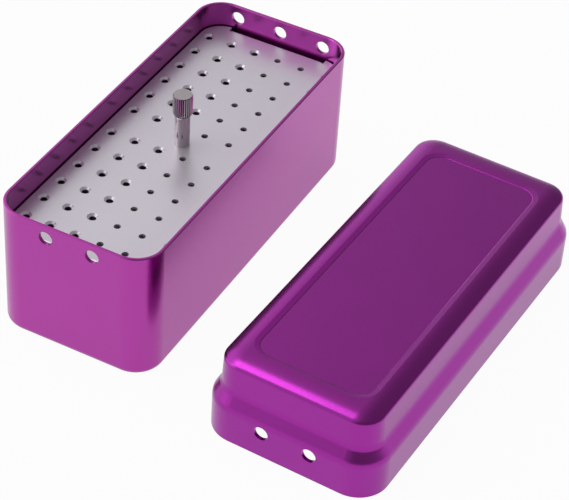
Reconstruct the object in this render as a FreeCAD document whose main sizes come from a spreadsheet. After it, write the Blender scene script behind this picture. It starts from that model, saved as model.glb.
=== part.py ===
import FreeCAD, Part
import os
import Sketcher

# Bur holder box: a drawn base, a drawn lid lying beside it, and a lift-out rack with 64 holes.
# Millimetres. X runs along the box with the two-vent end at -X, Z is up,
# and the origin is the middle of the underside of the base.

doc = FreeCAD.newDocument("BurHolderBox")
sizes = doc.addObject("Spreadsheet::Sheet", "Sizes")
spare = doc.addObject("Spreadsheet::Sheet", "Spare")

DRIVING = [
    ("Sheet and base",
     [("sheet", 1.1), ("base_length", 120), ("base_width", 49.3), ("base_height", 41.9),
      ("base_corner", 8.5), ("base_foot", 2.1), ("rim_bevel", 0.25)]),
    ("Vents",
     [("vent_bore", 4.3), ("vent_drop", 4.1), ("vent_pair", 7.3), ("vent_outer", 14.6)]),
    ("Lid",
     [("lid_gap", 0.8), ("lid_corner", 9.2), ("skirt_height", 11.2), ("seat_rise", 1.1),
      ("shoulder_top", 15.6), ("shoulder_step", 2.35), ("shoulder_round", 4), ("crown_edge", 24.2),
      ("crown_draft", 0.4), ("crown_round", 1.2), ("crown_width", 3.3), ("crown_arch", 12),
      ("lid_height", 25.6), ("panel_length", 102.2), ("panel_width", 34.2), ("panel_corner", 5),
      ("panel_recess", 0.45), ("panel_slope", 1.6)]),
    ("Lid place beside the base",
     [("lid_along", -6.5), ("lid_across", -74.5), ("lid_turn", -2.6)]),
    ("Perforated plate",
     [("plate_top", 34), ("plate_sheet", 0.8), ("plate_gap", 0.42), ("plate_corner", 7.2),
      ("pitch_along", 8.84), ("pitch_across", 7.93), ("middle_gap", 12.52),
      ("bur_bore", 2), ("countersink", 3.2), ("leg_width", 31), ("leg_face", 57.6),
      ("leg_foot", 1.3), ("leg_corner", 3), ("bend_round", 0.2), ("relief", 0.8)]),
    ("Stop plate",
     [("stop_top", 20), ("stop_sheet", 0.8), ("stop_width", 44), ("stop_corner", 3),
      ("ear_width", 26), ("ear_drop", 8), ("rivet_bore", 1.7), ("rivet_across", 9),
      ("rivet_level", 15), ("rivet_head", 3), ("rivet_rise", 0.7), ("rivet_shank", 1.6)]),
    ("Handle",
     [("handle_shaft", 4.5), ("handle_head", 5.8), ("head_start", 43.9), ("head_taper", 1.3),
      ("handle_top", 51.3), ("top_bevel", 0.25), ("thread_bore", 3), ("thread_depth", 9), ("clear_bore", 3.3),
      ("screw_shank", 2.9), ("screw_reach", 8), ("screw_head", 5.4), ("screw_rise", 1.8),
      ("socket_width", 2), ("socket_depth", 1.2), ("washer_outer", 7), ("washer_sheet", 0.5)]),
]

row = 1
for heading, cells in DRIVING:
    sizes.set(f"A{row}", heading)
    row += 1
    for alias, value in cells:
        sizes.set(f"A{row}", alias)
        sizes.set(f"B{row}", str(value))
        sizes.setAlias(f"B{row}", alias)
        row += 1
doc.recompute()

ROOT_POINT = (-1, 1)
LEAST_CHANGE = 0.01


def size(alias):
    """The number now held by one cell of the sheet."""
    return float(sizes.get(alias))


def bind(thing, **formulas):
    """Tie properties of an object to the sheet; a double underscore stands for a dot."""
    for name, formula in formulas.items():
        thing.setExpression(name.replace("__", "."), formula)


def new_body(label):
    body = doc.addObject("PartDesign::Body", label)
    body.Label = label
    return body


def new_sketch(body, name, role, level=None):
    """A sketch on one of the body's own origin planes, moved along its normal by a formula."""
    plane = [p for p in body.Origin.OriginFeatures if p.Role == role][0]
    sketch = body.newObject("Sketcher::SketchObject", name)
    sketch.AttachmentSupport = (plane, [""])
    sketch.MapMode = "FlatFace"
    if level is not None:
        sketch.setExpression("AttachmentOffset.Base.z", level)
    return sketch


def vector(x, y):
    return FreeCAD.Vector(x, y, 0)


def name_size(sketch, constraint, name, formula):
    index = sketch.addConstraint(constraint)
    sketch.renameConstraint(index, name)
    sketch.setExpression("Constraints." + name, formula)


def rounded_rectangle(sketch, length, width, corner):
    """Four sides and four equal corner arcs about the origin, driven by three formulas."""
    a, b, r = 30.0, 12.0, 3.0
    corners = [(a - r, b - r, 0), (r - a, b - r, 90), (r - a, r - b, 180), (a - r, r - b, 270)]
    sides = [((r - a, b), (a - r, b)), ((-a, r - b), (-a, b - r)),
             ((a - r, -b), (r - a, -b)), ((a, b - r), (a, r - b))]
    first = sketch.GeometryCount
    for x, y, start in corners:
        circle = Part.Circle(vector(x, y), FreeCAD.Vector(0, 0, 1), r)
        low = FreeCAD.Units.Quantity(f"{start} deg").getValueAs("rad").Value
        high = FreeCAD.Units.Quantity(f"{start + 90} deg").getValueAs("rad").Value
        sketch.addGeometry(Part.ArcOfCircle(circle, low, high), False)
    for start, end in sides:
        sketch.addGeometry(Part.LineSegment(vector(*start), vector(*end)), False)
    arc = [first + k for k in range(4)]
    top, left, bottom, right = [first + 4 + k for k in range(4)]
    joins = [(arc[0], 2, top, 2), (top, 1, arc[1], 1), (arc[1], 2, left, 2), (left, 1, arc[2], 1),
             (arc[2], 2, bottom, 2), (bottom, 1, arc[3], 1), (arc[3], 2, right, 2), (right, 1, arc[0], 1)]
    for one, end_one, other, end_other in joins:
        sketch.addConstraint(Sketcher.Constraint("Tangent", one, end_one, other, end_other))
    for side in (top, bottom):
        sketch.addConstraint(Sketcher.Constraint("Horizontal", side))
    for side in (left, right):
        sketch.addConstraint(Sketcher.Constraint("Vertical", side))
    for other in arc[1:]:
        sketch.addConstraint(Sketcher.Constraint("Equal", arc[0], other))
    sketch.addConstraint(Sketcher.Constraint("Symmetric", arc[0], 3, arc[2], 3, *ROOT_POINT))
    name_size(sketch, Sketcher.Constraint("DistanceX", left, 1, right, 2, 2 * a), "length", length)
    name_size(sketch, Sketcher.Constraint("DistanceY", bottom, 1, top, 1, 2 * b), "width", width)
    name_size(sketch, Sketcher.Constraint("Radius", arc[0], r), "corner", corner)


def circle_at(sketch, tag, x, y, diameter):
    """A circle whose centre and diameter are formulas; an empty formula keeps it on the axis."""
    number = sketch.addGeometry(Part.Circle(vector(5, 5), FreeCAD.Vector(0, 0, 1), 1), False)
    name_size(sketch, Sketcher.Constraint("Diameter", number, 2.0), tag + "_bore", diameter)
    for kind, formula, letter in (("DistanceX", x, "_along"), ("DistanceY", y, "_up")):
        if formula:
            name_size(sketch, Sketcher.Constraint(kind, *ROOT_POINT, number, 3, 5.0),
                      tag + letter, formula)
        else:
            axis = -2 if kind == "DistanceX" else -1
            sketch.addConstraint(Sketcher.Constraint("PointOnObject", number, 3, axis))


def closed_outline(sketch, points):
    """Straight sides through points whose two coordinates are formulas, joined end to end."""
    doc.recompute()
    numbers = []
    seeds = [(size_of(x), size_of(y)) for x, y in points]
    count = len(points)
    for k in range(count):
        start, end = seeds[k], seeds[(k + 1) % count]
        numbers.append(sketch.addGeometry(Part.LineSegment(vector(*start), vector(*end)), False))
    for k in range(count):
        after = numbers[(k + 1) % count]
        sketch.addConstraint(Sketcher.Constraint("Coincident", numbers[k], 2, after, 1))
    for k, (x, y) in enumerate(points):
        for kind, formula, letter in (("DistanceX", x, "x"), ("DistanceY", y, "y")):
            value = size_of(formula)
            if abs(value) < 1e-9:
                axis = -2 if kind == "DistanceX" else -1
                sketch.addConstraint(Sketcher.Constraint("PointOnObject", numbers[k], 1, axis))
            else:
                name_size(sketch, Sketcher.Constraint(kind, *ROOT_POINT, numbers[k], 1, value),
                          f"{letter}{k + 1}_place", formula)
    return numbers


def size_of(formula):
    """The value that a formula over the sheet has now, read through the spare sheet."""
    spare.set("A1", "=" + formula)
    spare.recompute()
    return float(spare.get("A1"))


def pad(body, name, sketch, length, midplane=False):
    feature = body.newObject("PartDesign::Pad", name)
    feature.Profile = sketch
    feature.setExpression("Length", length)
    feature.Midplane = midplane
    doc.recompute()
    return feature


def pocket(body, name, sketch, length, reverse=False, midplane=False):
    """A pocket that must take material away, or the build stops."""
    before = body.Shape.Volume
    feature = body.newObject("PartDesign::Pocket", name)
    feature.Profile = sketch
    feature.setExpression("Length", length)
    feature.Reversed = reverse
    feature.Midplane = midplane
    doc.recompute()
    if not body.Shape.Volume < before - LEAST_CHANGE:
        raise RuntimeError(name + " takes nothing away")
    return feature


def edges_where(shape, test):
    """Names of the edges whose middle point and box pass a test."""
    names = []
    for number, edge in enumerate(shape.Edges, 1):
        if test(edge):
            names.append(f"Edge{number}")
    return names


def fillet(body, name, base, names, radius):
    feature = body.newObject("PartDesign::Fillet", name)
    feature.Base = (base, names)
    feature.setExpression("Radius", radius)
    doc.recompute()
    return feature


def bevel(body, name, base, names, width):
    feature = body.newObject("PartDesign::Chamfer", name)
    feature.Base = (base, names)
    feature.setExpression("Size", width)
    doc.recompute()
    return feature


def flat_at(level, slack=1e-3):
    """A test for edges that lie wholly at one height."""
    def test(edge):
        box = edge.BoundBox
        return abs(box.ZMin - level) < slack and abs(box.ZMax - level) < slack
    return test


def repeat(body, name, original, steps):
    """A grid of a feature: one linear pattern for each (sketch axis, length, count)."""
    grid = body.newObject("PartDesign::MultiTransform", name)
    patterns = []
    for number, (sketch, axis, length, count) in enumerate(steps, 1):
        pattern = body.newObject("PartDesign::LinearPattern", f"{name}Step{number}")
        pattern.Direction = (sketch, [axis])
        pattern.setExpression("Length", length)
        pattern.Occurrences = count
        patterns.append(pattern)
    grid.Originals = [original]
    grid.Transformations = patterns
    body.Tip = grid
    doc.recompute()
    return grid


def vent_row(body, end, tag, places, half_length, level):
    """Round vents through one end wall; end is -1 for the two-vent end and 1 for the other."""
    outside = f"{end} * ({half_length} + 1)"
    sketch = new_sketch(body, tag + "VentSketch", "YZ_Plane", outside)
    for number, across in enumerate(places, 1):
        circle_at(sketch, f"vent{number}", across, level, "Sizes.vent_bore")
    return pocket(body, tag + "Vents", sketch, "Sizes.sheet + 3", reverse=end < 0)


PAIR = ("Sizes.vent_pair", "-Sizes.vent_pair")
TRIPLE = ("Sizes.vent_outer", "", "-Sizes.vent_outer")


def make_base():
    """The drawn base: an open box with a small foot radius and vents just under its rim."""
    body = new_body("base_box")
    outline = new_sketch(body, "BaseOutline", "XY_Plane")
    rounded_rectangle(outline, "Sizes.base_length", "Sizes.base_width", "Sizes.base_corner")
    block = pad(body, "BaseBlock", outline, "Sizes.base_height")
    foot = fillet(body, "BaseFoot", block, edges_where(block.Shape, flat_at(0)), "Sizes.base_foot")
    top_face = max(range(len(foot.Shape.Faces)), key=lambda k: foot.Shape.Faces[k].CenterOfMass.z)
    shell = body.newObject("PartDesign::Thickness", "BaseShell")
    shell.Base = (foot, [f"Face{top_face + 1}"])
    shell.setExpression("Value", "Sizes.sheet")
    shell.Reversed = True
    doc.recompute()
    vent_level = "Sizes.base_height - Sizes.vent_drop"
    vent_row(body, -1, "Pair", PAIR, "Sizes.base_length / 2", vent_level)
    vents = vent_row(body, 1, "Triple", TRIPLE, "Sizes.base_length / 2", vent_level)
    rim = edges_where(vents.Shape, flat_at(size("base_height")))
    bevel(body, "RimBevel", vents, rim, "Sizes.rim_bevel")
    return body


def lid_outline(body, name, level, inset):
    """The lid's plan at one level, drawn in from the skirt by a formula."""
    grown = "2 * (Sizes.lid_gap + Sizes.sheet)"
    sketch = new_sketch(body, name, "XY_Plane", level)
    rounded_rectangle(sketch, f"Sizes.base_length + {grown} - 2 * {inset}",
                      f"Sizes.base_width + {grown} - 2 * {inset}",
                      f"Sizes.lid_corner - {inset}")
    return sketch


def tapered(body, name, kind, sketch, height, step, reverse=False):
    """A pad or pocket whose walls lean in by a step over its height."""
    feature = body.newObject(kind, name)
    feature.Profile = sketch
    feature.setExpression("Length", height)
    feature.setExpression("TaperAngle", f"-atan({step} / ({height}))")
    feature.Reversed = reverse
    doc.recompute()
    return feature


def tapered_pad(body, name, sketch, height, step):
    return tapered(body, name, "PartDesign::Pad", sketch, height, step)


def sunk_panel(body):
    """The middle of the lid's top, pressed down with sloping edges by one even depth."""
    grown = "2 * Sizes.panel_slope"
    for name, kind, level in (("PanelCeiling", "PartDesign::Pad", "Sizes.lid_height - Sizes.sheet"),
                              ("SunkPanel", "PartDesign::Pocket", "Sizes.lid_height")):
        sketch = new_sketch(body, name + "Sketch", "XY_Plane", level)
        rounded_rectangle(sketch, f"Sizes.panel_length + {grown}", f"Sizes.panel_width + {grown}",
                          "Sizes.panel_corner + Sizes.panel_slope")
        before = body.Shape.Volume
        tapered(body, name, kind, sketch, "Sizes.panel_recess", "Sizes.panel_slope",
                reverse=kind.endswith("Pad"))
        if not abs(body.Shape.Volume - before) > LEAST_CHANGE:
            raise RuntimeError(name + " changes nothing")


def make_lid():
    """The drawn lid: straight skirt, sloping shoulder, dome wall, arched crown, sunk panel."""
    body = new_body("lid_cover")
    step, draft = "Sizes.shoulder_step", "Sizes.crown_draft"
    pad(body, "Skirt", lid_outline(body, "SkirtOutline", "0 * Sizes.sheet", "0"),
        "Sizes.skirt_height")
    tapered_pad(body, "Shoulder", lid_outline(body, "ShoulderOutline", "Sizes.skirt_height", "0"),
                "Sizes.shoulder_top - Sizes.skirt_height", step)
    tapered_pad(body, "DomeWall", lid_outline(body, "DomeOutline", "Sizes.shoulder_top", step),
                "Sizes.crown_edge - Sizes.shoulder_top", draft)
    solid = tapered_pad(body, "Crown", lid_outline(body, "CrownOutline", "Sizes.crown_edge",
                                                   f"({step} + {draft})"),
                        "Sizes.lid_height - Sizes.crown_edge", "Sizes.crown_width")
    for name, level in (("ShoulderFoot", "Sizes.skirt_height"), ("ShoulderTop", "Sizes.shoulder_top")):
        names = edges_where(solid.Shape, flat_at(size_of(level)))
        solid = fillet(body, name, solid, names, "Sizes.shoulder_round")
    lowest = min(range(len(solid.Shape.Faces)), key=lambda k: solid.Shape.Faces[k].CenterOfMass.z)
    shell = body.newObject("PartDesign::Thickness", "LidShell")
    shell.Base = (solid, [f"Face{lowest + 1}"])
    shell.setExpression("Value", "Sizes.sheet")
    shell.Reversed = True
    doc.recompute()
    solid = shell
    for name, level, radius in (
            ("CrownArch", "Sizes.lid_height", "Sizes.crown_arch"),
            ("CrownInside", "Sizes.lid_height - Sizes.sheet", "Sizes.crown_arch - Sizes.sheet"),
            ("CrownEdge", "Sizes.crown_edge", "Sizes.crown_round")):
        names = edges_where(solid.Shape, flat_at(size_of(level)))
        solid = fillet(body, name, solid, names, radius)
    sunk_panel(body)
    vent_level = "Sizes.skirt_height + Sizes.seat_rise - Sizes.vent_drop"
    half = "(Sizes.base_length / 2 + Sizes.lid_gap + Sizes.sheet)"
    vent_row(body, -1, "LidPair", PAIR, half, vent_level)
    vent_row(body, 1, "LidTriple", TRIPLE, half, vent_level)
    bind(body, Placement__Base__x="Sizes.lid_along", Placement__Base__y="Sizes.lid_across",
         Placement__Rotation__Angle="Sizes.lid_turn")
    return body


def bent_leg(body, tag, side, top, sheet, face, width, foot):
    """A leg bent down at one end: its cross-section with the bend, padded across the box."""
    level = f"{top} - {sheet}"
    start = f"({face} - {sheet} - Sizes.bend_round)"
    sketch = new_sketch(body, tag + "Section", "XZ_Plane")
    numbers = closed_outline(sketch, [
        (f"{side} * ({start} - 2)", top), (f"{side} * {face}", top), (f"{side} * {face}", foot),
        (f"{side} * ({face} - {sheet})", foot), (f"{side} * ({face} - {sheet})", level),
        (f"{side} * ({start} - 2)", level)])
    leg = pad(body, tag, sketch, width, midplane=True)
    outer = edges_where(leg.Shape, upright_line(side * size_of(face), size_of(top)))
    rounded = fillet(body, tag + "Bend", leg, outer, f"Sizes.bend_round + {sheet}")
    inner = edges_where(rounded.Shape, upright_line(side * size_of(f"{face} - {sheet}"), size_of(level)))
    return fillet(body, tag + "Inside", rounded, inner, "Sizes.bend_round"), numbers


def upright_line(x, z, slack=1e-3):
    """A test for edges that run across the box at one place and height."""
    def test(edge):
        box = edge.BoundBox
        here = abs(box.XMin - x) < slack and abs(box.XMax - x) < slack
        return here and abs(box.ZMin - z) < slack and abs(box.ZMax - z) < slack
    return test


def leg_corners(edge, foot_level, half_width):
    """True for the short edges through the sheet at the two bottom corners of a leg."""
    box = edge.BoundBox
    low = abs(box.ZMin - foot_level) < 1e-3 and abs(box.ZMax - foot_level) < 1e-3
    return low and box.XLength > 0.1 and box.YLength < 1e-3 and abs(abs(box.YMin) - half_width) < 1e-3


GRID_START = "Sizes.middle_gap / 2 + 5 * Sizes.pitch_along"


def hole_seed(body, name, across):
    """Two seed circles, the first hole of each half of the grid, at one distance across."""
    sketch = new_sketch(body, name, "XY_Plane", "Sizes.plate_top")
    circle_at(sketch, "left", f"-({GRID_START})", across, "Sizes.bur_bore")
    circle_at(sketch, "right", "Sizes.middle_gap / 2", across, "Sizes.bur_bore")
    return sketch


def make_bur_plate():
    """The perforated plate: a sheet with two legs bent down and 64 holes, 36 of them countersunk."""
    body = new_body("bur_plate")
    outline = new_sketch(body, "PlateOutline", "XY_Plane", "Sizes.plate_top - Sizes.plate_sheet")
    inside = "2 * (Sizes.sheet + Sizes.plate_gap)"
    rounded_rectangle(outline, f"Sizes.base_length - {inside}", f"Sizes.base_width - {inside}",
                      "Sizes.plate_corner")
    pad(body, "PlateSheet", outline, "Sizes.plate_sheet")
    bend_start = "(Sizes.leg_face - Sizes.plate_sheet - Sizes.bend_round)"
    half_slot = "(Sizes.leg_width / 2 + Sizes.relief)"
    for side, tag in ((-1, "Near"), (1, "Far")):
        slot = new_sketch(body, tag + "ReliefSketch", "XY_Plane", "Sizes.plate_top")
        closed_outline(slot, [(f"{side} * {bend_start}", half_slot), (f"{side} * 62", half_slot),
                              (f"{side} * 62", f"-{half_slot}"),
                              (f"{side} * {bend_start}", f"-{half_slot}")])
        pocket(body, tag + "Relief", slot, "Sizes.plate_sheet")
        leg, _ = bent_leg(body, tag + "Leg", side, "Sizes.plate_top", "Sizes.plate_sheet",
                          "Sizes.leg_face", "Sizes.leg_width", "Sizes.leg_foot")
    names = edges_where(leg.Shape, lambda e: leg_corners(e, size("leg_foot"), size("leg_width") / 2))
    fillet(body, "LegCorners", leg, names, "Sizes.leg_corner")
    rivets = new_sketch(body, "RivetHoleSketch", "YZ_Plane")
    circle_at(rivets, "first", "Sizes.rivet_across", "Sizes.rivet_level", "Sizes.rivet_bore")
    circle_at(rivets, "second", "-Sizes.rivet_across", "Sizes.rivet_level", "Sizes.rivet_bore")
    pocket(body, "RivetHoles", rivets, "Sizes.base_length", midplane=True)
    centre = new_sketch(body, "HandleHoleSketch", "XY_Plane", "Sizes.plate_top")
    circle_at(centre, "handle", "", "", "Sizes.clear_bore")
    pocket(body, "HandleHole", centre, "Sizes.plate_sheet")
    run = "5 * Sizes.pitch_along"
    plain_seed = hole_seed(body, "PlainSeed", "-1.5 * Sizes.pitch_across")
    plain = pocket(body, "PlainHole", plain_seed, "Sizes.plate_sheet")
    repeat(body, "PlainHoles", plain, [(plain_seed, "H_Axis", run, 6),
                                       (plain_seed, "V_Axis", "Sizes.pitch_across", 2)])
    corner_seed = new_sketch(body, "CornerSeed", "XY_Plane", "Sizes.plate_top")
    across = "-2.5 * Sizes.pitch_across"
    circle_at(corner_seed, "left", f"-({GRID_START})", across, "Sizes.bur_bore")
    circle_at(corner_seed, "right", "Sizes.middle_gap / 2 + 4 * Sizes.pitch_along", across,
              "Sizes.bur_bore")
    corner = pocket(body, "CornerHole", corner_seed, "Sizes.plate_sheet")
    repeat(body, "CornerHoles", corner, [(corner_seed, "H_Axis", "Sizes.pitch_along", 2)])
    sunk_seed = hole_seed(body, "SunkSeed", "Sizes.pitch_across / 2")
    sunk = body.newObject("PartDesign::Hole", "SunkHole")
    sunk.Profile = sunk_seed
    doc.recompute()
    sunk.ThreadType = "None"
    sunk.setExpression("Diameter", "Sizes.bur_bore")
    sunk.DepthType = "Dimension"
    sunk.setExpression("Depth", "2 * Sizes.plate_sheet")
    sunk.DrillPoint = "Flat"
    sunk.HoleCutType = "Countersink"
    sunk.HoleCutCustomValues = True
    sunk.setExpression("HoleCutDiameter", "Sizes.countersink")
    sunk.HoleCutCountersinkAngle = 90
    doc.recompute()
    repeat(body, "SunkHoles", sunk, [(sunk_seed, "H_Axis", run, 6),
                                     (sunk_seed, "V_Axis", "2 * Sizes.pitch_across", 3)])
    return body


def make_stop_plate():
    """The lower plate that the bur shanks stand on, with an ear bent down at each end."""
    body = new_body("stop_plate")
    face = "(Sizes.leg_face - Sizes.plate_sheet)"
    start = f"({face} - Sizes.stop_sheet - Sizes.bend_round)"
    outline = new_sketch(body, "StopOutline", "XY_Plane", "Sizes.stop_top - Sizes.stop_sheet")
    rounded_rectangle(outline, f"2 * {start}", "Sizes.stop_width", "Sizes.stop_corner")
    pad(body, "StopSheet", outline, "Sizes.stop_sheet")
    for side, tag in ((-1, "NearEar"), (1, "FarEar")):
        ear, _ = bent_leg(body, tag, side, "Sizes.stop_top", "Sizes.stop_sheet", face,
                          "Sizes.ear_width", "Sizes.stop_top - Sizes.ear_drop")
    rivets = new_sketch(body, "EarHoleSketch", "YZ_Plane")
    circle_at(rivets, "first", "Sizes.rivet_across", "Sizes.rivet_level", "Sizes.rivet_bore")
    circle_at(rivets, "second", "-Sizes.rivet_across", "Sizes.rivet_level", "Sizes.rivet_bore")
    pocket(body, "EarHoles", rivets, "Sizes.base_length", midplane=True)
    return body


def revolve(body, name, points, axis):
    """A turned form from a half outline in the XZ plane."""
    sketch = new_sketch(body, name + "Sketch", "XZ_Plane")
    closed_outline(sketch, points)
    feature = body.newObject("PartDesign::Revolution", name)
    feature.Profile = sketch
    feature.ReferenceAxis = (sketch, [axis])
    feature.Angle = 360
    doc.recompute()
    return feature


def make_rivet(number, side, across):
    """One rivet through a leg and an ear: domed head outside, flat upset head inside."""
    body = new_body(f"rivet_{number}")
    outside = "Sizes.leg_face"
    inside = "(Sizes.leg_face - Sizes.plate_sheet - Sizes.stop_sheet)"
    rise = "Sizes.rivet_rise"
    sketch = new_sketch(body, "RivetSketch", "XZ_Plane")
    closed_outline(sketch, [
        (f"{inside} - {rise}", "0 * Sizes.sheet"), (f"{outside} + {rise}", "0 * Sizes.sheet"),
        (f"{outside} + {rise}", "Sizes.rivet_head / 4"), (outside, "Sizes.rivet_head / 2"),
        (outside, "Sizes.rivet_shank / 2"), (inside, "Sizes.rivet_shank / 2"),
        (inside, "Sizes.rivet_head / 2"), (f"{inside} - {rise}", "Sizes.rivet_head / 2")])
    turned = body.newObject("PartDesign::Revolution", "RivetTurned")
    turned.Profile = sketch
    turned.ReferenceAxis = (sketch, ["H_Axis"])
    turned.Angle = 360
    body.Placement.Rotation = FreeCAD.Rotation(FreeCAD.Vector(0, 0, 1), 0 if side > 0 else 180)
    bind(body, Placement__Base__y=f"{across} * Sizes.rivet_across",
         Placement__Base__z="Sizes.rivet_level")
    doc.recompute()
    return body


def make_handle():
    """The turned post that lifts the rack: plain shaft, wider head, tapped from below."""
    body = new_body("lifting_handle")
    shaft, head, edge = "Sizes.handle_shaft / 2", "Sizes.handle_head / 2", "Sizes.top_bevel"
    bore, depth = "Sizes.thread_bore / 2", "Sizes.plate_top + Sizes.thread_depth"
    revolve(body, "HandleTurned", [
        (bore, "Sizes.plate_top"), (shaft, "Sizes.plate_top"), (shaft, "Sizes.head_start"),
        (head, "Sizes.head_start + Sizes.head_taper"), (head, f"Sizes.handle_top - {edge}"),
        (f"{head} - {edge}", "Sizes.handle_top"), ("0 * Sizes.sheet", "Sizes.handle_top"),
        ("0 * Sizes.sheet", f"{depth} + {bore}"), (bore, depth)], "V_Axis")
    return body


def make_washer():
    body = new_body("handle_washer")
    under = "Sizes.plate_top - Sizes.plate_sheet"
    revolve(body, "WasherTurned", [
        ("Sizes.clear_bore / 2", f"{under} - Sizes.washer_sheet"),
        ("Sizes.washer_outer / 2", f"{under} - Sizes.washer_sheet"),
        ("Sizes.washer_outer / 2", under), ("Sizes.clear_bore / 2", under)], "V_Axis")
    return body


def make_screw():
    """The screw that holds the handle from under the plate, with a hexagon socket."""
    body = new_body("handle_screw")
    seat = "(Sizes.plate_top - Sizes.plate_sheet - Sizes.washer_sheet)"
    head = "Sizes.screw_head / 2"
    revolve(body, "ScrewTurned", [
        ("0 * Sizes.sheet", f"{seat} - Sizes.screw_rise"),
        (f"{head} - 0.6", f"{seat} - Sizes.screw_rise"), (head, f"{seat} - Sizes.screw_rise + 0.6"),
        (head, seat), ("Sizes.screw_shank / 2", seat),
        ("Sizes.screw_shank / 2", "Sizes.plate_top + Sizes.screw_reach"),
        ("0 * Sizes.sheet", "Sizes.plate_top + Sizes.screw_reach")], "V_Axis")
    socket = new_sketch(body, "SocketSketch", "XY_Plane", f"{seat} - Sizes.screw_rise")
    hexagon(socket, "Sizes.socket_width")
    pocket(body, "Socket", socket, "Sizes.socket_depth", reverse=True)
    return body


def hexagon(sketch, across_flats):
    """A regular hexagon about the origin: equal sides with their ends on one circle."""
    radius = size_of(across_flats) / 3 ** 0.5
    corners = [FreeCAD.Rotation(FreeCAD.Vector(0, 0, 1), 60 * k).multVec(vector(radius, 0))
               for k in range(6)]
    rim = sketch.addGeometry(Part.Circle(vector(0, 0), FreeCAD.Vector(0, 0, 1), radius), True)
    sketch.addConstraint(Sketcher.Constraint("Coincident", rim, 3, *ROOT_POINT))
    name_size(sketch, Sketcher.Constraint("Diameter", rim, 2 * radius), "across_corners",
              f"{across_flats} * 2 / sqrt(3)")
    sides = [sketch.addGeometry(Part.LineSegment(corners[k], corners[(k + 1) % 6]), False)
             for k in range(6)]
    for k in range(6):
        sketch.addConstraint(Sketcher.Constraint("Coincident", sides[k], 2, sides[(k + 1) % 6], 1))
        sketch.addConstraint(Sketcher.Constraint("PointOnObject", sides[k], 1, rim))
    for other in sides[1:]:
        sketch.addConstraint(Sketcher.Constraint("Equal", sides[0], other))
    sketch.addConstraint(Sketcher.Constraint("PointOnObject", sides[0], 1, -1))


def check_closed_fit(base, lid, handle):
    """The lid set down on the base must rest on its rim and clear the handle."""
    closed = lid.Shape.copy()
    seat = size("base_height") - size("skirt_height") - size("seat_rise")
    closed.Placement = FreeCAD.Placement(FreeCAD.Vector(0, 0, seat), FreeCAD.Rotation())
    for other in (base, handle):
        shared = closed.common(other.Shape).Volume
        if shared > 0.5:
            raise RuntimeError(f"the closed lid runs into {other.Label} by {shared:.2f} mm3")
    print("closed lid: gap to base", round(closed.distToShape(base.Shape)[0], 3),
          "gap to handle", round(closed.distToShape(handle.Shape)[0], 3))


def main():
    base = make_base()
    lid = make_lid()
    plate = make_bur_plate()
    stop = make_stop_plate()
    rivets = []
    for side in (-1, 1):
        for across in (-1, 1):
            rivets.append(make_rivet(len(rivets) + 1, side, across))
    handle = make_handle()
    pieces = [base, lid, plate, stop, *rivets, handle, make_screw(), make_washer()]
    doc.recompute()
    for thing in doc.Objects:
        if "Invalid" in thing.State or "Error" in thing.State:
            raise RuntimeError(f"{thing.Name} has state {thing.State}")
    os.makedirs("parts", exist_ok=True)
    for piece in pieces:
        shape = piece.Shape
        if shape.isNull() or not shape.isValid() or len(shape.Solids) != 1:
            raise RuntimeError(piece.Label + " isn't one valid solid")
        shape.exportStep(f"parts/{piece.Label}.step")
        box = shape.BoundBox
        print(piece.Label, round(shape.Volume), "mm3", [round(v, 2) for v in
              (box.XMin, box.YMin, box.ZMin, box.XMax, box.YMax, box.ZMax)])
    check_closed_fit(base, lid, handle)


main()
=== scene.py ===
"""Looks of a bur holder box: anodised base and lid, perforated rack with a knurled handle."""
import math

import bmesh
import bpy
from mathutils import Matrix, Vector


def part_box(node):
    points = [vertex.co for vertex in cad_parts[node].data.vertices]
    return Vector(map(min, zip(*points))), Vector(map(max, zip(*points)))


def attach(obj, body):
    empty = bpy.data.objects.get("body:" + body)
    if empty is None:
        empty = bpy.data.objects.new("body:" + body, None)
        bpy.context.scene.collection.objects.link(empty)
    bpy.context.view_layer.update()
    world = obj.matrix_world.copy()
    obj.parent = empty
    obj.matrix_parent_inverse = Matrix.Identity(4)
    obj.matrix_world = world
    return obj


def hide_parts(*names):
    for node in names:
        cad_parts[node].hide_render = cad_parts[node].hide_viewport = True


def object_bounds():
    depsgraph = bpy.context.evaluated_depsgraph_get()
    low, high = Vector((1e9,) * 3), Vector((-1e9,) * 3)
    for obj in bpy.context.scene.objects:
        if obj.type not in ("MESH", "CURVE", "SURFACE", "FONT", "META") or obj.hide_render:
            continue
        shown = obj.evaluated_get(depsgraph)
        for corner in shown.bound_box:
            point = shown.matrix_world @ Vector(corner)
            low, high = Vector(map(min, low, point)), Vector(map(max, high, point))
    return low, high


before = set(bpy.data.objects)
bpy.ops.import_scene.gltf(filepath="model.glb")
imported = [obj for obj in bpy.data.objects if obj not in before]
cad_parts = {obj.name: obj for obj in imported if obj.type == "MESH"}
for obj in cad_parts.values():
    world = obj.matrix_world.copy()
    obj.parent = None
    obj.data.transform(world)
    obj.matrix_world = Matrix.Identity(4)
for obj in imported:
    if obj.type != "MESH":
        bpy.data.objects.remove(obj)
CAD_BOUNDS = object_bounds()

bl_info = {
    "name": "Bur Holder Box",
    "version": (1, 0, 0),
    "blender": (4, 5, 0),
    "location": "3D View > Sidebar > Bur Box",
    "description": "Finishes, knurled handle and studio stage for a bur holder box",
    "category": "Object",
}

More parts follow.
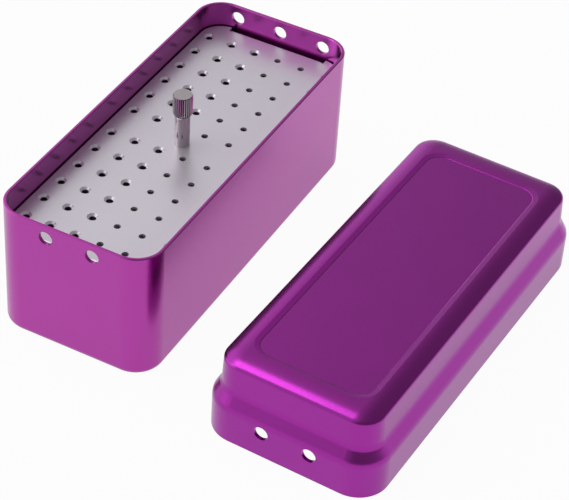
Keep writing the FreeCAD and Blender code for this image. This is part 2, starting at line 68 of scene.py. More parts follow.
MM = 0.001
HAIR = 0.02 * MM
BASE_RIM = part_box("base_box")[1].z
LID_LOW, LID_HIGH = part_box("lid_cover")
HANDLE_LOW, HANDLE_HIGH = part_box("lifting_handle")
HANDLE_STEPS = 96
RIVETS = 4
OBJECT_MIDDLE = (CAD_BOUNDS[0] + CAD_BOUNDS[1]) / 2
LID_MIDDLE = (LID_LOW + LID_HIGH) / 2
LID_TURN = math.radians(-2.6)
NO_WORN_RIM = LID_HIGH.z + 1.0
PANEL_LENGTH = 102.2 * MM
PANEL_WIDTH = 34.2 * MM
PANEL_CORNER = 5.0 * MM


class Wire:
    """A socket in a node tree that takes part in Python arithmetic."""

    def __init__(self, tree, socket):
        self.tree = tree
        self.socket = socket

    def maths(self, operation, *values):
        node = self.tree.nodes.new("ShaderNodeMath")
        node.operation = operation
        for socket, value in zip(node.inputs, values):
            plug(self.tree, socket, value)
        return Wire(self.tree, node.outputs[0])

    def __add__(self, other):
        return self.maths("ADD", self, other)

    def __radd__(self, other):
        return self.maths("ADD", other, self)

    def __sub__(self, other):
        return self.maths("SUBTRACT", self, other)

    def __rsub__(self, other):
        return self.maths("SUBTRACT", other, self)

    def __mul__(self, other):
        return self.maths("MULTIPLY", self, other)

    def __rmul__(self, other):
        return self.maths("MULTIPLY", other, self)

    def __truediv__(self, other):
        return self.maths("DIVIDE", self, other)

    def __rtruediv__(self, other):
        return self.maths("DIVIDE", other, self)

    def larger(self, other):
        return self.maths("MAXIMUM", self, other)

    def smaller(self, other):
        return self.maths("MINIMUM", self, other)

    def size(self):
        return self.maths("ABSOLUTE", self)

    def root(self):
        return self.maths("SQRT", self)

    def step(self, low, high):
        """A soft step from 0 at low to 1 at high."""
        return added(self.tree, "ShaderNodeMapRange", {"interpolation_type": "SMOOTHSTEP"}, "Result",
                     Value=self, From_Min=low, From_Max=high)


def plug(tree, socket, value):
    """Gives a socket its value, or a link where the value is a wire."""
    if isinstance(value, Wire):
        tree.links.new(value.socket, socket)
    else:
        socket.default_value = value


def added(tree, kind, settings=None, output=0, **sockets):
    """Adds a node; settings come first, then values or wires by socket name."""
    node = tree.nodes.new(kind)
    for name, value in (settings or {}).items():
        setattr(node, name, value)
    for name, value in sockets.items():
        plug(tree, node.inputs[name.replace("_", " ")], value)
    return Wire(tree, node.outputs[output])


def split(vector):
    """The X, Y and Z wires of a vector wire."""
    node = vector.tree.nodes.new("ShaderNodeSeparateXYZ")
    plug(vector.tree, node.inputs[0], vector)
    return [Wire(vector.tree, node.outputs[axis]) for axis in "XYZ"]


def joined(tree, x, y, z):
    """A vector wire from three values or wires."""
    return added(tree, "ShaderNodeCombineXYZ", X=x, Y=y, Z=z)


NOISE_ROUGHNESS = 0.55


class Finish:
    """A material in the making: a node tree with one method that adds any node."""

    def __init__(self, name):
        self.material = bpy.data.materials.new(name)
        self.material.use_nodes = True
        self.tree = self.material.node_tree
        self.tree.nodes.clear()

    def add(self, kind, settings, output, **sockets):
        """Adds a node to the material."""
        return added(self.tree, kind, settings, output, **sockets)

    def place(self, stretch=(1, 1, 1)):
        """Object coordinates in metres, stretched along each axis."""
        where = self.add("ShaderNodeTexCoord", {}, "Object")
        return self.add("ShaderNodeMapping", {}, "Vector", Vector=where, Scale=stretch)

    def height(self):
        """Height above the ground in metres."""
        return split(self.place())[2]

    def radius(self):
        """Distance from the upright line through the origin in metres."""
        along, across = split(self.place())[:2]
        return (along * along + across * across).root()

    def beyond_outline(self, middle, turn, length, width, corner):
        """Distance outside a rounded rectangle that lies turned about its middle, in metres."""
        where = self.add("ShaderNodeTexCoord", {}, "Object")
        turned = self.add("ShaderNodeVectorRotate", {"rotation_type": "Z_AXIS"}, "Vector",
                          Vector=where, Center=middle, Angle=-turn)
        lengthwise, sideways = split(turned)[:2]
        along = (lengthwise - middle.x).size() - (length / 2 - corner)
        across = (sideways - middle.y).size() - (width / 2 - corner)
        out_along, out_across = along.larger(0.0), across.larger(0.0)
        rounded = (out_along * out_along + out_across * out_across).root()
        return rounded + along.larger(across).smaller(0.0) - corner

    def noise(self, size, detail=2.0, stretch=(1, 1, 1)):
        """Noise with features of about one size in metres."""
        return self.add("ShaderNodeTexNoise", {}, "Fac", Vector=self.place(stretch),
                        Scale=1 / size, Detail=detail, Roughness=NOISE_ROUGHNESS)

    def blend(self, factor, first, second):
        """A colour between two colours."""
        node = self.tree.nodes.new("ShaderNodeMix")
        node.data_type = "RGBA"
        colours = [socket for socket in node.inputs if socket.type == "RGBA"]
        plug(self.tree, node.inputs[0], factor)
        plug(self.tree, colours[0], first)
        plug(self.tree, colours[1], second)
        result = [socket for socket in node.outputs if socket.type == "RGBA"][0]
        return Wire(self.tree, result)

    def surface(self, fixed, **linked):
        """The shader: fixed numbers go straight on their sockets, wires are linked."""
        node = self.tree.nodes.new("ShaderNodeBsdfPrincipled")
        for name, value in fixed.items():
            node.inputs[name].default_value = value
        for name, value in linked.items():
            plug(self.tree, node.inputs[name.replace("_", " ")], value)
        out = self.tree.nodes.new("ShaderNodeOutputMaterial")
        self.tree.links.new(node.outputs[0], out.inputs[0])
        return self.material


def shade(colour, factor):
    """The same colour, lighter or darker."""
    return tuple(min(1.0, channel * factor) for channel in colour[:3]) + (1.0,)


GRAIN_BUMP = 0.3
DYE_DARK, DYE_PALE, DYE_WORN = 0.90, 1.09, 1.7
DYE_CLOUDS, DYE_MARKS, DYE_GRAIN = 0.35, 0.25, 0.40
DYE_ROUGH_GRAIN, DYE_ROUGH_CLOUDS = 0.10, 0.06
MARK_STRETCH, MARK_BUMP = 0.08, 0.35
WORN_PATCH, WORN_FROM, WORN_TO = 6, 0.45, 0.7
OXIDE_IOR = 1.6


def anodised_aluminium(name, finish, tint, rim_height, pressed=None):
    """Dyed, satin anodised sheet: fine blasted grain, faint drawing marks, a paler worn rim."""
    made = Finish(name)
    grain = made.noise(finish.grain_size, detail=3.0)
    marks = made.noise(finish.mark_size, stretch=(1.0, 1.0, MARK_STRETCH))
    clouds = made.noise(finish.cloud_size, detail=1.0)
    wear = made.height().step(rim_height - finish.wear_band, rim_height)
    patches = made.noise(WORN_PATCH * finish.grain_size).step(WORN_FROM, WORN_TO)
    mixture = DYE_CLOUDS * clouds + DYE_MARKS * marks + DYE_GRAIN * grain
    tone = made.blend(mixture, shade(tint, DYE_DARK), shade(tint, DYE_PALE))
    colour = made.blend(wear * patches * finish.wear, tone, shade(tint, DYE_WORN))
    rough = finish.roughness + DYE_ROUGH_GRAIN * (grain - 0.5) + DYE_ROUGH_CLOUDS * (clouds - 0.5)
    bump = made.add("ShaderNodeBump", {}, "Normal", Height=grain + MARK_BUMP * marks,
                    Strength=finish.grain_depth, Distance=finish.grain_size * GRAIN_BUMP)
    if pressed:
        beyond = made.beyond_outline(*pressed)
        edge = beyond.step(-finish.pressed_width / 2, finish.pressed_width / 2)
        slope = beyond.larger(0.0).smaller(finish.slope_width)
        relief = finish.pressed_depth * edge - finish.slope_ease * slope
        bump = made.add("ShaderNodeBump", {}, "Normal", Height=relief, Normal=bump,
                        Strength=1.0, Distance=1.0)
    return made.surface(
        {"Metallic": 1.0, "Coat Roughness": finish.coat_roughness, "Coat IOR": OXIDE_IOR,
         "Coat Weight": finish.coat},
        Base_Color=colour, Roughness=rough, Normal=bump)


SILVER_SWING = 0.05
STOP_SPREAD, RIVET_SPREAD = 1.4, 2.0
SILVER_CLOUDS, SILVER_GRAIN = 0.5, 0.5
SILVER_ROUGH_GRAIN, SILVER_ROUGH_LINES = 0.08, 0.06
LINE_STRETCH, LINE_BUMP = 0.05, 0.3


def satin_silver(name, finish, tint, spread=1.0, metal=1.0):
    """Clear anodised or mill-finished sheet with a fine even grain and faint rolling lines."""
    made = Finish(name)
    grain = made.noise(finish.grain_size, detail=3.0)
    lines = made.noise(finish.line_size, stretch=(LINE_STRETCH, 1.0, 1.0))
    clouds = made.noise(finish.cloud_size, detail=1.0)
    swing = SILVER_SWING * spread
    colour = made.blend(SILVER_GRAIN * grain + SILVER_CLOUDS * clouds, shade(tint, 1 - swing),
                        shade(tint, 1 + swing))
    rough = finish.roughness + SILVER_ROUGH_GRAIN * (grain - 0.5) + SILVER_ROUGH_LINES * (lines - 0.5)
    bump = made.add("ShaderNodeBump", {}, "Normal", Height=grain + LINE_BUMP * lines,
                    Strength=finish.grain_depth, Distance=finish.grain_size * GRAIN_BUMP)
    return made.surface({"Metallic": metal}, Base_Color=colour, Roughness=rough, Normal=bump)


# The last of these darkens the knurl roots to near black: painted shade between the ridges.
STEEL_DARK, STEEL_PALE, STEEL_ROOT_PAINTED_SHADE = 0.88, 1.08, 0.08
STEEL_RINGS, STEEL_CLOUDS, CLOUD_RINGS = 0.6, 0.4, 30
STEEL_ROUGH_RINGS, STEEL_ROUGH_CLOUDS = 0.08, 0.05
RING_STRETCH, RING_STRENGTH, RING_BUMP = 0.04, 0.2, 0.2


def turned_steel(name, handle, knurl=None):
    """Bright turned steel: fine rings round the axis, grey patches, and painted shade that darkens the
    knurl roots.
    """
    made = Finish(name)
    rings = made.noise(handle.ring_size, stretch=(RING_STRETCH, RING_STRETCH, 1.0))
    clouds = made.noise(CLOUD_RINGS * handle.ring_size, detail=1.0)
    colour = made.blend(STEEL_RINGS * rings + STEEL_CLOUDS * clouds, shade(handle.tint, STEEL_DARK),
                        shade(handle.tint, STEEL_PALE))
    # Painted shade: the roots between the knurl's ridges are darkened towards near black, standing in
    # for the shade that falls between them.
    if knurl:
        root, crest, start, end = knurl
        height = made.height()
        inside = height.step(start, start + HAIR) * (1 - height.step(end - HAIR, end))
        sunk = 1 - made.radius().step(root, crest)
        colour = made.blend(handle.painted_root_shade * inside * sunk, colour, shade(handle.tint, STEEL_ROOT_PAINTED_SHADE))
    rough = handle.roughness + STEEL_ROUGH_RINGS * (rings - 0.5) + STEEL_ROUGH_CLOUDS * (clouds - 0.5)
    bump = made.add("ShaderNodeBump", {}, "Normal", Height=rings, Strength=RING_STRENGTH,
                    Distance=handle.ring_size * RING_BUMP)
    return made.surface({"Metallic": 1.0}, Base_Color=colour, Roughness=rough, Normal=bump)


def dress(node, material):
    """Gives a CAD node one material on every face."""
    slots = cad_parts[node].data.materials
    slots.clear()
    slots.append(material)


def piece_from(name, mesh, body, slot, *nodes):
    """Puts a finished mesh in the scene on one body's empty and hides the CAD nodes it stands for."""
    piece = bpy.data.objects.new(name, mesh)
    bpy.context.scene.collection.objects.link(piece)
    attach(piece, body)
    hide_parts(*nodes)


ON_AXIS = 1e-9


def turned_mesh(name, outline, steps):
    """A solid of revolution about Z from (radius, height) points that start and end on the axis."""
    form = bmesh.new()
    rings = []
    for radius, level in outline:
        if radius < ON_AXIS:
            rings.append([form.verts.new((0, 0, level))])
            continue
        ring = []
        for k in range(steps):
            turn = 2 * math.pi * k / steps
            ring.append(form.verts.new((radius * math.cos(turn), radius * math.sin(turn), level)))
        rings.append(ring)
    for low, high in zip(rings, rings[1:]):
        for k in range(steps):
            after = (k + 1) % steps
            corners = [low[k % len(low)], low[after % len(low)],
                       high[after % len(high)], high[k % len(high)]]
            unique = list(dict.fromkeys(corners))
            form.faces.new(unique)
    bmesh.ops.recalc_face_normals(form, faces=form.faces)
    mesh = bpy.data.meshes.new(name)
    form.to_mesh(mesh)
    form.free()
    smooth(mesh)
    return mesh


def smooth(mesh, crease=math.radians(25)):
    """Smooth shading that keeps every edge sharper than the crease angle crisp."""
    mesh.shade_smooth()
    mesh.set_sharp_from_angle(angle=crease)


TRIANGLE_HEIGHT = 1.5
TRIANGLE_HALF_BASE = math.sqrt(3) / 2
RIDGE_SIDES = 3
RIDGE_SEGMENTS = 24
CREST_SHARE = 0.7
KNURL_INPUTS = {
    "Ridge Count": "NodeSocketInt",
    "Root Radius": "NodeSocketFloat",
    "Ridge Depth": "NodeSocketFloat",
    "Ridge Start": "NodeSocketFloat",
    "Ridge End": "NodeSocketFloat",
    "Shaft Radius": "NodeSocketFloat",
    "Cone Height": "NodeSocketFloat",
}


def knurl_tree(material):
    """Geometry nodes: three-sided ridges round the handle's head, turned down to the cone below it."""
    tree = bpy.data.node_groups.new("StraightKnurl", "GeometryNodeTree")
    tree.interface.new_socket("Geometry", in_out="INPUT", socket_type="NodeSocketGeometry")
    for name, kind in KNURL_INPUTS.items():
        tree.interface.new_socket(name, in_out="INPUT", socket_type=kind)
    tree.interface.new_socket("Geometry", in_out="OUTPUT", socket_type="NodeSocketGeometry")
    given = tree.nodes.new("NodeGroupInput")
    count, root, depth, start, end, shaft, cone_height = [
        Wire(tree, given.outputs[name]) for name in KNURL_INPUTS]
    half_pitch = root * math.pi / count
    depth_scale = depth / TRIANGLE_HEIGHT
    prism = added(tree, "GeometryNodeMeshCylinder", Vertices=RIDGE_SIDES, Radius=1.0,
                  Side_Segments=RIDGE_SEGMENTS, Depth=end - start)
    ridge = added(tree, "GeometryNodeTransform", Geometry=prism,
                  Scale=joined(tree, depth_scale, half_pitch / TRIANGLE_HALF_BASE, 1),
                  Translation=joined(tree, depth_scale * (TRIANGLE_HEIGHT - 1), 0, 0))
    ring = added(tree, "GeometryNodeMeshCircle", Vertices=count, Radius=root)
    turn = added(tree, "GeometryNodeInputIndex") * (2 * math.pi / count)
    ridges = added(tree, "GeometryNodeInstanceOnPoints", Points=ring, Instance=ridge,
                   Rotation=joined(tree, 0, 0, turn))
    lifted = added(tree, "GeometryNodeTransform", Geometry=ridges,
                   Translation=joined(tree, 0, 0, (start + end) * 0.5))
    loose = added(tree, "GeometryNodeRealizeInstances", Geometry=lifted)
    x, y, z = split(added(tree, "GeometryNodeInputPosition"))
    radius = (x * x + y * y).root()
    cone = shaft + (z - start) / cone_height * (root + depth - shaft)
    shrink = (cone / radius).smaller(1.0)
    trimmed = added(tree, "GeometryNodeSetPosition", Geometry=loose,
                    Position=joined(tree, x * shrink, y * shrink, z))
    together = added(tree, "GeometryNodeJoinGeometry", Geometry=trimmed)
    tree.links.new(given.outputs["Geometry"], together.socket.node.inputs[0])
    real = added(tree, "GeometryNodeRealizeInstances", Geometry=together)
    painted = added(tree, "GeometryNodeSetMaterial", Geometry=real, Material=material)
    result = tree.nodes.new("NodeGroupOutput")
    plug(tree, result.inputs[0], painted)
    return tree


def grown(mesh, tree, values, name):
    """The mesh that a geometry nodes tree makes from a seed mesh, as plain mesh data."""
    seed = bpy.data.objects.new(name + "_seed", mesh)
    bpy.context.scene.collection.objects.link(seed)
    modifier = seed.modifiers.new("Nodes", "NODES")
    modifier.node_group = tree
    for item in tree.interface.items_tree:
        if item.in_out == "INPUT" and item.name in values:
            modifier[item.identifier] = values[item.name]
    bpy.context.view_layer.update()
    ready = seed.evaluated_get(bpy.context.evaluated_depsgraph_get())
    result = bpy.data.meshes.new_from_object(ready)
    result.name = name
    seed.modifiers.clear()
    bpy.data.objects.remove(seed)
    return result


class AnodisedFinish(bpy.types.PropertyGroup):
    base_tint: bpy.props.FloatVectorProperty(
        name="Base Tint", description="Dye colour of the base", subtype="COLOR", size=4,
        min=0, max=1, default=(0.495, 0.042, 0.415, 1))
    lid_tint: bpy.props.FloatVectorProperty(
        name="Lid Tint", description="Dye colour of the lid", subtype="COLOR", size=4,
        min=0, max=1, default=(0.40, 0.012, 0.385, 1))
    roughness: bpy.props.FloatProperty(
        name="Roughness", description="Satin blur of the blasted sheet", default=0.21, min=0, max=1)
    coat: bpy.props.FloatProperty(
        name="Oxide Layer", description="Strength of the clear oxide layer's own gloss",
        default=0.5, min=0, max=1)
    coat_roughness: bpy.props.FloatProperty(
        name="Oxide Roughness", description="Blur of the oxide layer's gloss", default=0.3, min=0, max=1)
    grain_size: bpy.props.FloatProperty(
        name="Grain Size", description="Size of the blasted grain", default=0.22 * MM,
        subtype="DISTANCE", unit="LENGTH")
    grain_depth: bpy.props.FloatProperty(
        name="Grain Depth", description="Strength of the grain's bump", default=0.22, min=0, max=1)
    mark_size: bpy.props.FloatProperty(
        name="Drawing Marks", description="Width of the faint marks of the drawing tool",
        default=0.6 * MM, subtype="DISTANCE", unit="LENGTH")
    cloud_size: bpy.props.FloatProperty(
        name="Cloud Size", description="Size of slow changes of tone", default=18 * MM,
        subtype="DISTANCE", unit="LENGTH")
    pressed_width: bpy.props.FloatProperty(
        name="Pressed Edge Width", description="Width of the crisp edge round the sunk panel",
        default=0.35 * MM, subtype="DISTANCE", unit="LENGTH")
    pressed_depth: bpy.props.FloatProperty(
        name="Pressed Edge Depth", description="Depth of the crisp edge round the sunk panel",
        default=0.16 * MM, subtype="DISTANCE", unit="LENGTH")
    slope_width: bpy.props.FloatProperty(
        name="Slope Width", description="Width of the drawn slope round the sunk panel",
        default=1.6 * MM, subtype="DISTANCE", unit="LENGTH")
    slope_ease: bpy.props.FloatProperty(
        name="Slope Ease", description="Fall per width that evens the tone of that slope",
        default=0.24, min=0, max=0.28)
    wear_band: bpy.props.FloatProperty(
        name="Wear Band", description="Height of the worn band at the rim", default=0.5 * MM,
        subtype="DISTANCE", unit="LENGTH")
    wear: bpy.props.FloatProperty(
        name="Wear", description="How far the dye is rubbed off at the rim", default=0.12, min=0, max=1)


class RackFinish(bpy.types.PropertyGroup):
    tint: bpy.props.FloatVectorProperty(
        name="Plate Tint", description="Colour of the perforated plate", subtype="COLOR", size=4,
        min=0, max=1, default=(0.93, 0.88, 1.0, 1))
    hidden_tint: bpy.props.FloatVectorProperty(
        name="Stop Plate Tint", description="Colour of the stop plate and rivets", subtype="COLOR",
        size=4, min=0, max=1, default=(0.62, 0.61, 0.64, 1))
    roughness: bpy.props.FloatProperty(
        name="Roughness", description="Satin blur of the sheet", default=0.32, min=0, max=1)
    plate_metal: bpy.props.FloatProperty(
        name="Plate Metal", description="Share of bare metal in the plate's etched, matt surface",
        default=0.62, min=0, max=1)
    grain_size: bpy.props.FloatProperty(
        name="Grain Size", description="Size of the sheet's grain", default=0.18 * MM,
        subtype="DISTANCE", unit="LENGTH")
    grain_depth: bpy.props.FloatProperty(
        name="Grain Depth", description="Strength of the grain's bump", default=0.18, min=0, max=1)
    line_size: bpy.props.FloatProperty(
        name="Rolling Lines", description="Width of the faint rolling lines", default=0.3 * MM,
        subtype="DISTANCE", unit="LENGTH")
    cloud_size: bpy.props.FloatProperty(
        name="Cloud Size", description="Size of slow changes of tone", default=15 * MM,
        subtype="DISTANCE", unit="LENGTH")


class HandleSizes(bpy.types.PropertyGroup):
    tint: bpy.props.FloatVectorProperty(
        name="Steel Tint", description="Colour of the turned steel", subtype="COLOR", size=4,
        min=0, max=1, default=(0.56, 0.50, 0.53, 1))
    roughness: bpy.props.FloatProperty(
        name="Roughness", description="Blur of the turned surface", default=0.16, min=0, max=1)
    ridge_count: bpy.props.IntProperty(
        name="Ridges", description="Ridges round the knurled head", default=26, min=8, max=60)
    ridge_depth: bpy.props.FloatProperty(
        name="Ridge Depth", description="Height of a ridge above its root", default=0.34 * MM,
        subtype="DISTANCE", unit="LENGTH")
    # Strength of the painted shade that darkens the knurl roots between the ridges.
    painted_root_shade: bpy.props.FloatProperty(
        name="Root Shade", description="How dark the roots between the ridges are", default=0.85,
        min=0, max=1)
    shaft_radius: bpy.props.FloatProperty(
        name="Shaft Radius", description="Radius of the plain shaft", default=2.25 * MM,
        subtype="DISTANCE", unit="LENGTH")
    head_length: bpy.props.FloatProperty(
        name="Head Length", description="Length of the head with the cone under it",
        default=7.4 * MM, subtype="DISTANCE", unit="LENGTH")
    taper: bpy.props.FloatProperty(
        name="Taper", description="Height of the cone under the head", default=1.3 * MM,
        subtype="DISTANCE", unit="LENGTH")
    top_bevel: bpy.props.FloatProperty(
        name="Top Bevel", description="Bevel round the top face", default=0.25 * MM,
        subtype="DISTANCE", unit="LENGTH")
    ring_size: bpy.props.FloatProperty(
        name="Turning Rings", description="Spacing of the turning tool's rings", default=0.09 * MM,
        subtype="DISTANCE", unit="LENGTH")


class StageSizes(bpy.types.PropertyGroup):
    floor_size: bpy.props.FloatProperty(
        name="Floor", description="Side of the floor", default=6.0, subtype="DISTANCE", unit="LENGTH")
    lamp_distance: bpy.props.FloatProperty(
        name="Lamp Distance", description="Distance of both soft lamps from the object", default=0.95,
        subtype="DISTANCE", unit="LENGTH")
    high_heading: bpy.props.FloatProperty(
        name="High Lamp Heading", description="Heading of the high lamp, from +X towards +Y",
        default=math.radians(93), subtype="ANGLE", unit="ROTATION")
    high_elevation: bpy.props.FloatProperty(
        name="High Lamp Elevation", description="Elevation of the high lamp above the floor",
        default=math.radians(68), subtype="ANGLE", unit="ROTATION")
    high_size: bpy.props.FloatProperty(
        name="High Lamp Size", description="Side of the high lamp", default=0.25,
        subtype="DISTANCE", unit="LENGTH")
    high_power: bpy.props.FloatProperty(
        name="High Lamp Power", description="Power of the high lamp in watts", default=0.52, min=0)
    side_heading: bpy.props.FloatProperty(
        name="Side Lamp Heading", description="Heading of the side lamp, from +X towards +Y",
        default=math.radians(122), subtype="ANGLE", unit="ROTATION")
    side_elevation: bpy.props.FloatProperty(
        name="Side Lamp Elevation", description="Elevation of the side lamp above the floor",
        default=math.radians(45), subtype="ANGLE", unit="ROTATION")
    side_size: bpy.props.FloatProperty(
        name="Side Lamp Size", description="Side of the side lamp", default=0.22,
        subtype="DISTANCE", unit="LENGTH")
    side_power: bpy.props.FloatProperty(
        name="Side Lamp Power", description="Power of the side lamp in watts", default=0.25, min=0)
    window_heading: bpy.props.FloatProperty(
        name="Window Heading", description="Heading of the room's bright side, from +X towards +Y",
        default=math.radians(94), subtype="ANGLE", unit="ROTATION")
    window_elevation: bpy.props.FloatProperty(
        name="Window Elevation", description="Elevation of the room's bright side",
        default=math.radians(8), subtype="ANGLE", unit="ROTATION")
    bright_side: bpy.props.FloatProperty(
        name="Bright Side", description="Room light from the brighter side", default=1.30, min=0, max=5)
    dim_side: bpy.props.FloatProperty(
        name="Dim Side", description="Room light from every other side", default=0.21, min=0, max=5)
    floor_white: bpy.props.FloatProperty(
        name="Floor White", description="How white the floor shows whatever shades it", default=0.96,
        min=0, max=1)
    floor_mirrored: bpy.props.FloatProperty(
        name="Floor Mirrored", description="How white the floor shows in reflections", default=0.64,
        min=0, max=1)


class BURBOX_OT_base(bpy.types.Operator):
    """Finish the drawn base in dyed satin aluminium"""
    bl_idname = "burbox.base"
    bl_label = "Base"

    def execute(self, context):
        finish = context.scene.burbox_anodised
        material = anodised_aluminium("PurpleAnodisedBase", finish, finish.base_tint, BASE_RIM)
        dress("base_box", material)
        return {"FINISHED"}


class BURBOX_OT_lid(bpy.types.Operator):
    """Finish the drawn lid in dyed satin aluminium"""
    bl_idname = "burbox.lid"
    bl_label = "Lid"

    def execute(self, context):
        finish = context.scene.burbox_anodised
        panel = (LID_MIDDLE, LID_TURN, PANEL_LENGTH, PANEL_WIDTH, PANEL_CORNER)
        material = anodised_aluminium("PurpleAnodisedLid", finish, finish.lid_tint, NO_WORN_RIM, panel)
        dress("lid_cover", material)
        return {"FINISHED"}


class BURBOX_OT_rack(bpy.types.Operator):
    """Finish the perforated plate, the stop plate and their rivets"""
    bl_idname = "burbox.rack"
    bl_label = "Rack"

    def execute(self, context):
        finish = context.scene.burbox_rack
        plate = satin_silver("SilverPlate", finish, finish.tint, metal=finish.plate_metal)
        dress("bur_plate", plate)
        stop = satin_silver("StopPlateMetal", finish, finish.hidden_tint, spread=STOP_SPREAD)
        dress("stop_plate", stop)
        rivet = satin_silver("RivetMetal", finish, finish.hidden_tint, spread=RIVET_SPREAD)
        for k in range(RIVETS):
            dress(f"rivet_{k + 1}", rivet)
        return {"FINISHED"}


class BURBOX_OT_handle(bpy.types.Operator):
    """Turn the lifting handle and knurl its head"""
    bl_idname = "burbox.handle"
    bl_label = "Handle"

    def execute(self, context):
        sizes = context.scene.burbox_handle
        outer, top, foot = HANDLE_HIGH.x, HANDLE_HIGH.z, HANDLE_LOW.z
        root, shaft = outer - sizes.ridge_depth, sizes.shaft_radius
        start = top - sizes.head_length
        root_start = start + sizes.taper * (root - shaft) / (outer - shaft)
        knurl_end = top - sizes.top_bevel
        outline = [(0, foot), (shaft, foot), (shaft, start + HAIR), (root - HAIR, root_start + HAIR),
                   (root - HAIR, knurl_end), (outer - sizes.top_bevel, top), (0, top)]
        core = turned_mesh("handle_core", outline, HANDLE_STEPS)
        knurl = (root, root + CREST_SHARE * sizes.ridge_depth, root_start, knurl_end)
        material = turned_steel("TurnedSteel", sizes, knurl)
        values = {"Ridge Count": sizes.ridge_count, "Root Radius": root,
                  "Ridge Depth": sizes.ridge_depth, "Ridge Start": start, "Ridge End": knurl_end,
                  "Shaft Radius": shaft, "Cone Height": sizes.taper}
        mesh = grown(core, knurl_tree(material), values, "knurled_handle")
        piece_from("knurled_handle", mesh, "rack", "turned_steel", "lifting_handle")
        return {"FINISHED"}


class BURBOX_OT_fixing(bpy.types.Operator):
    """Finish the screw and washer under the plate"""
    bl_idname = "burbox.fixing"
    bl_label = "Screw and Washer"

    def execute(self, context):
        material = turned_steel("ScrewSteel", context.scene.burbox_handle)
        dress("handle_screw", material)
        dress("handle_washer", material)
        return {"FINISHED"}


class BURBOX_OT_stage(bpy.types.Operator):
    """Set the white floor, the soft lamps, the room light and the camera"""
    bl_idname = "burbox.stage"
    bl_label = "Stage"

    def execute(self, context):
        stage = context.scene.burbox_stage
        make_floor(stage)
        make_lamps(stage)
        make_room(context.scene, stage)
        make_camera(context.scene)
        context.scene.view_settings.view_transform = "Standard"
        return {"FINISHED"}


WHITE = (1, 1, 1, 1)
FLOOR_COLOUR = (0.90, 0.90, 0.90, 1)


def make_floor(stage):
    """A white floor that shows white to the camera and in reflections and keeps soft shadows."""
    half = stage.floor_size / 2
    mesh = bpy.data.meshes.new("floor")
    corners = [(-half, -half, 0), (half, -half, 0), (half, half, 0), (-half, half, 0)]
    mesh.from_pydata(corners, [], [(0, 1, 2, 3)])
    floor = bpy.data.objects.new("floor", mesh)
    bpy.context.scene.collection.objects.link(floor)
    made = Finish("WhiteFloor")
    tree = made.tree
    diffuse = made.add("ShaderNodeBsdfDiffuse", {}, 0, Color=FLOOR_COLOUR)
    glow = made.add("ShaderNodeEmission", {}, 0, Color=WHITE, Strength=1.0)
    seen = made.add("ShaderNodeLightPath", {}, "Is Camera Ray")
    mirrored = made.add("ShaderNodeLightPath", {}, "Is Glossy Ray")
    mix = tree.nodes.new("ShaderNodeMixShader")
    share = stage.floor_white * seen + stage.floor_mirrored * mirrored
    for socket, wire in zip(mix.inputs, (share, diffuse, glow)):
        plug(tree, socket, wire)
    out = tree.nodes.new("ShaderNodeOutputMaterial")
    tree.links.new(mix.outputs[0], out.inputs[0])
    mesh.materials.append(made.material)


def towards(heading, elevation):
    """The direction from the object at a heading and an elevation."""
    level = math.cos(elevation)
    return Vector((level * math.cos(heading), level * math.sin(heading), math.sin(elevation)))


def make_lamp(name, stage, heading, elevation, side, power):
    """One square soft lamp that faces the object."""
    data = bpy.data.lights.new(name, "AREA")
    data.shape = "SQUARE"
    data.size = side
    data.energy = power
    lamp = bpy.data.objects.new(name, data)
    bpy.context.scene.collection.objects.link(lamp)
    away = towards(heading, elevation)
    facing = away.to_track_quat("Z", "Y").to_matrix().to_4x4()
    lamp.matrix_world = Matrix.Translation(OBJECT_MIDDLE + stage.lamp_distance * away) @ facing


def make_lamps(stage):
    """Two soft lamps on the side of the countersunk holes, one high, one lower by the two-vent end."""
    make_lamp("high_lamp", stage, stage.high_heading, stage.high_elevation, stage.high_size,
              stage.high_power)
    make_lamp("side_lamp", stage, stage.side_heading, stage.side_elevation, stage.side_size,
              stage.side_power)


ROOM_EDGE = -0.3


def make_room(scene, stage):
    """Dim room light with one broad bright side, like a large window, and white to the camera."""
    world = bpy.data.worlds.new("studio")
    world.use_nodes = True
    tree = world.node_tree
    tree.nodes.clear()
    rays = tree.nodes.new("ShaderNodeLightPath")
    where = tree.nodes.new("ShaderNodeTexCoord")
    along = tree.nodes.new("ShaderNodeVectorMath")
    along.operation = "DOT_PRODUCT"
    tree.links.new(where.outputs["Generated"], along.inputs[0])
    along.inputs[1].default_value = towards(stage.window_heading, stage.window_elevation)
    share = Wire(tree, along.outputs["Value"]).step(ROOM_EDGE, 1.0)
    level = stage.dim_side + (stage.bright_side - stage.dim_side) * (share * share)
    seen = Wire(tree, rays.outputs["Is Camera Ray"])
    back = tree.nodes.new("ShaderNodeBackground")
    back.inputs["Color"].default_value = WHITE
    plug(tree, back.inputs["Strength"], level * (1 - seen) + seen)
    out = tree.nodes.new("ShaderNodeOutputWorld")
    tree.links.new(back.outputs[0], out.inputs[0])
    scene.world = world


VIEW_AZIMUTH = math.radians(-64.25)
VIEW_ELEVATION = math.radians(40.21)
VIEW_ROLL = math.radians(3.89)
VIEW_DISTANCE = 643.12 * MM
VIEW_RIGHT = 31.22 * MM
VIEW_UP = -4.78 * MM
VIEW_LENS = 137.03
VIEW_START = 10 * MM
SENSOR_WIDTH = 36.0


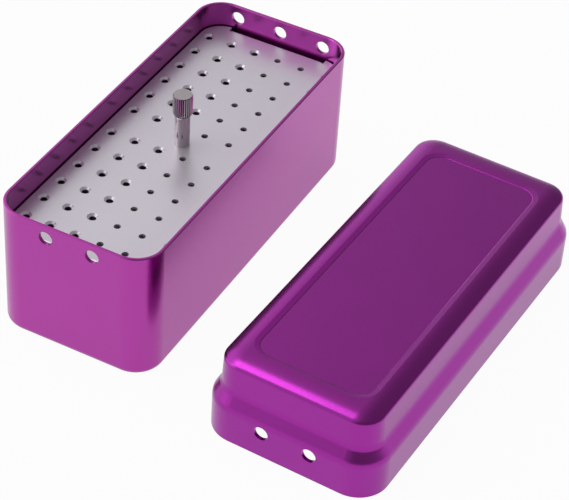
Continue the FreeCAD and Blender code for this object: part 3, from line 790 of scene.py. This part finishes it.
def make_camera(scene):
    """The photograph's viewpoint, from its measured angles, distance and roll."""
    back = Vector((math.sin(VIEW_AZIMUTH) * math.cos(VIEW_ELEVATION),
                   -math.cos(VIEW_AZIMUTH) * math.cos(VIEW_ELEVATION),
                   math.sin(VIEW_ELEVATION)))
    right = (-back).cross(Vector((0, 0, 1))).normalized()
    up = right.cross(-back)
    turned_right = right * math.cos(VIEW_ROLL) + up * math.sin(VIEW_ROLL)
    turned_up = up * math.cos(VIEW_ROLL) - right * math.sin(VIEW_ROLL)
    place = VIEW_RIGHT * turned_right + VIEW_UP * turned_up + VIEW_DISTANCE * back
    data = bpy.data.cameras.new("camera")
    data.lens = VIEW_LENS
    data.sensor_width = SENSOR_WIDTH
    data.clip_start = VIEW_START
    camera = bpy.data.objects.new("camera", data)
    scene.collection.objects.link(camera)
    axes = Matrix((turned_right, turned_up, back)).transposed().to_4x4()
    camera.matrix_world = Matrix.Translation(place) @ axes
    scene.camera = camera


class BURBOX_PT_panel(bpy.types.Panel):
    bl_idname = "BURBOX_PT_panel"
    bl_label = "Bur Box"
    bl_space_type = "VIEW_3D"
    bl_region_type = "UI"
    bl_category = "Bur Box"

    def draw(self, context):
        scene = context.scene
        for group in (scene.burbox_anodised, scene.burbox_rack, scene.burbox_handle, scene.burbox_stage):
            box = self.layout.box()
            for name in group.__annotations__:
                box.prop(group, name)
        for step in STEPS:
            self.layout.operator(step.bl_idname)


GROUPS = {
    "burbox_anodised": AnodisedFinish,
    "burbox_rack": RackFinish,
    "burbox_handle": HandleSizes,
    "burbox_stage": StageSizes,
}
STEPS = [BURBOX_OT_base, BURBOX_OT_lid, BURBOX_OT_rack, BURBOX_OT_handle, BURBOX_OT_fixing,
         BURBOX_OT_stage]


def register():
    for group in GROUPS.values():
        bpy.utils.register_class(group)
    for step in STEPS:
        bpy.utils.register_class(step)
    bpy.utils.register_class(BURBOX_PT_panel)
    for name, group in GROUPS.items():
        setattr(bpy.types.Scene, name, bpy.props.PointerProperty(type=group))


def unregister():
    for name in GROUPS:
        delattr(bpy.types.Scene, name)
    bpy.utils.unregister_class(BURBOX_PT_panel)
    for step in reversed(STEPS):
        bpy.utils.unregister_class(step)
    for group in reversed(list(GROUPS.values())):
        bpy.utils.unregister_class(group)


def main():
    register()
    bpy.ops.burbox.base()
    bpy.ops.burbox.lid()
    bpy.ops.burbox.rack()
    bpy.ops.burbox.handle()
    bpy.ops.burbox.fixing()
    bpy.ops.burbox.stage()


if __name__ == "__main__":
    main()
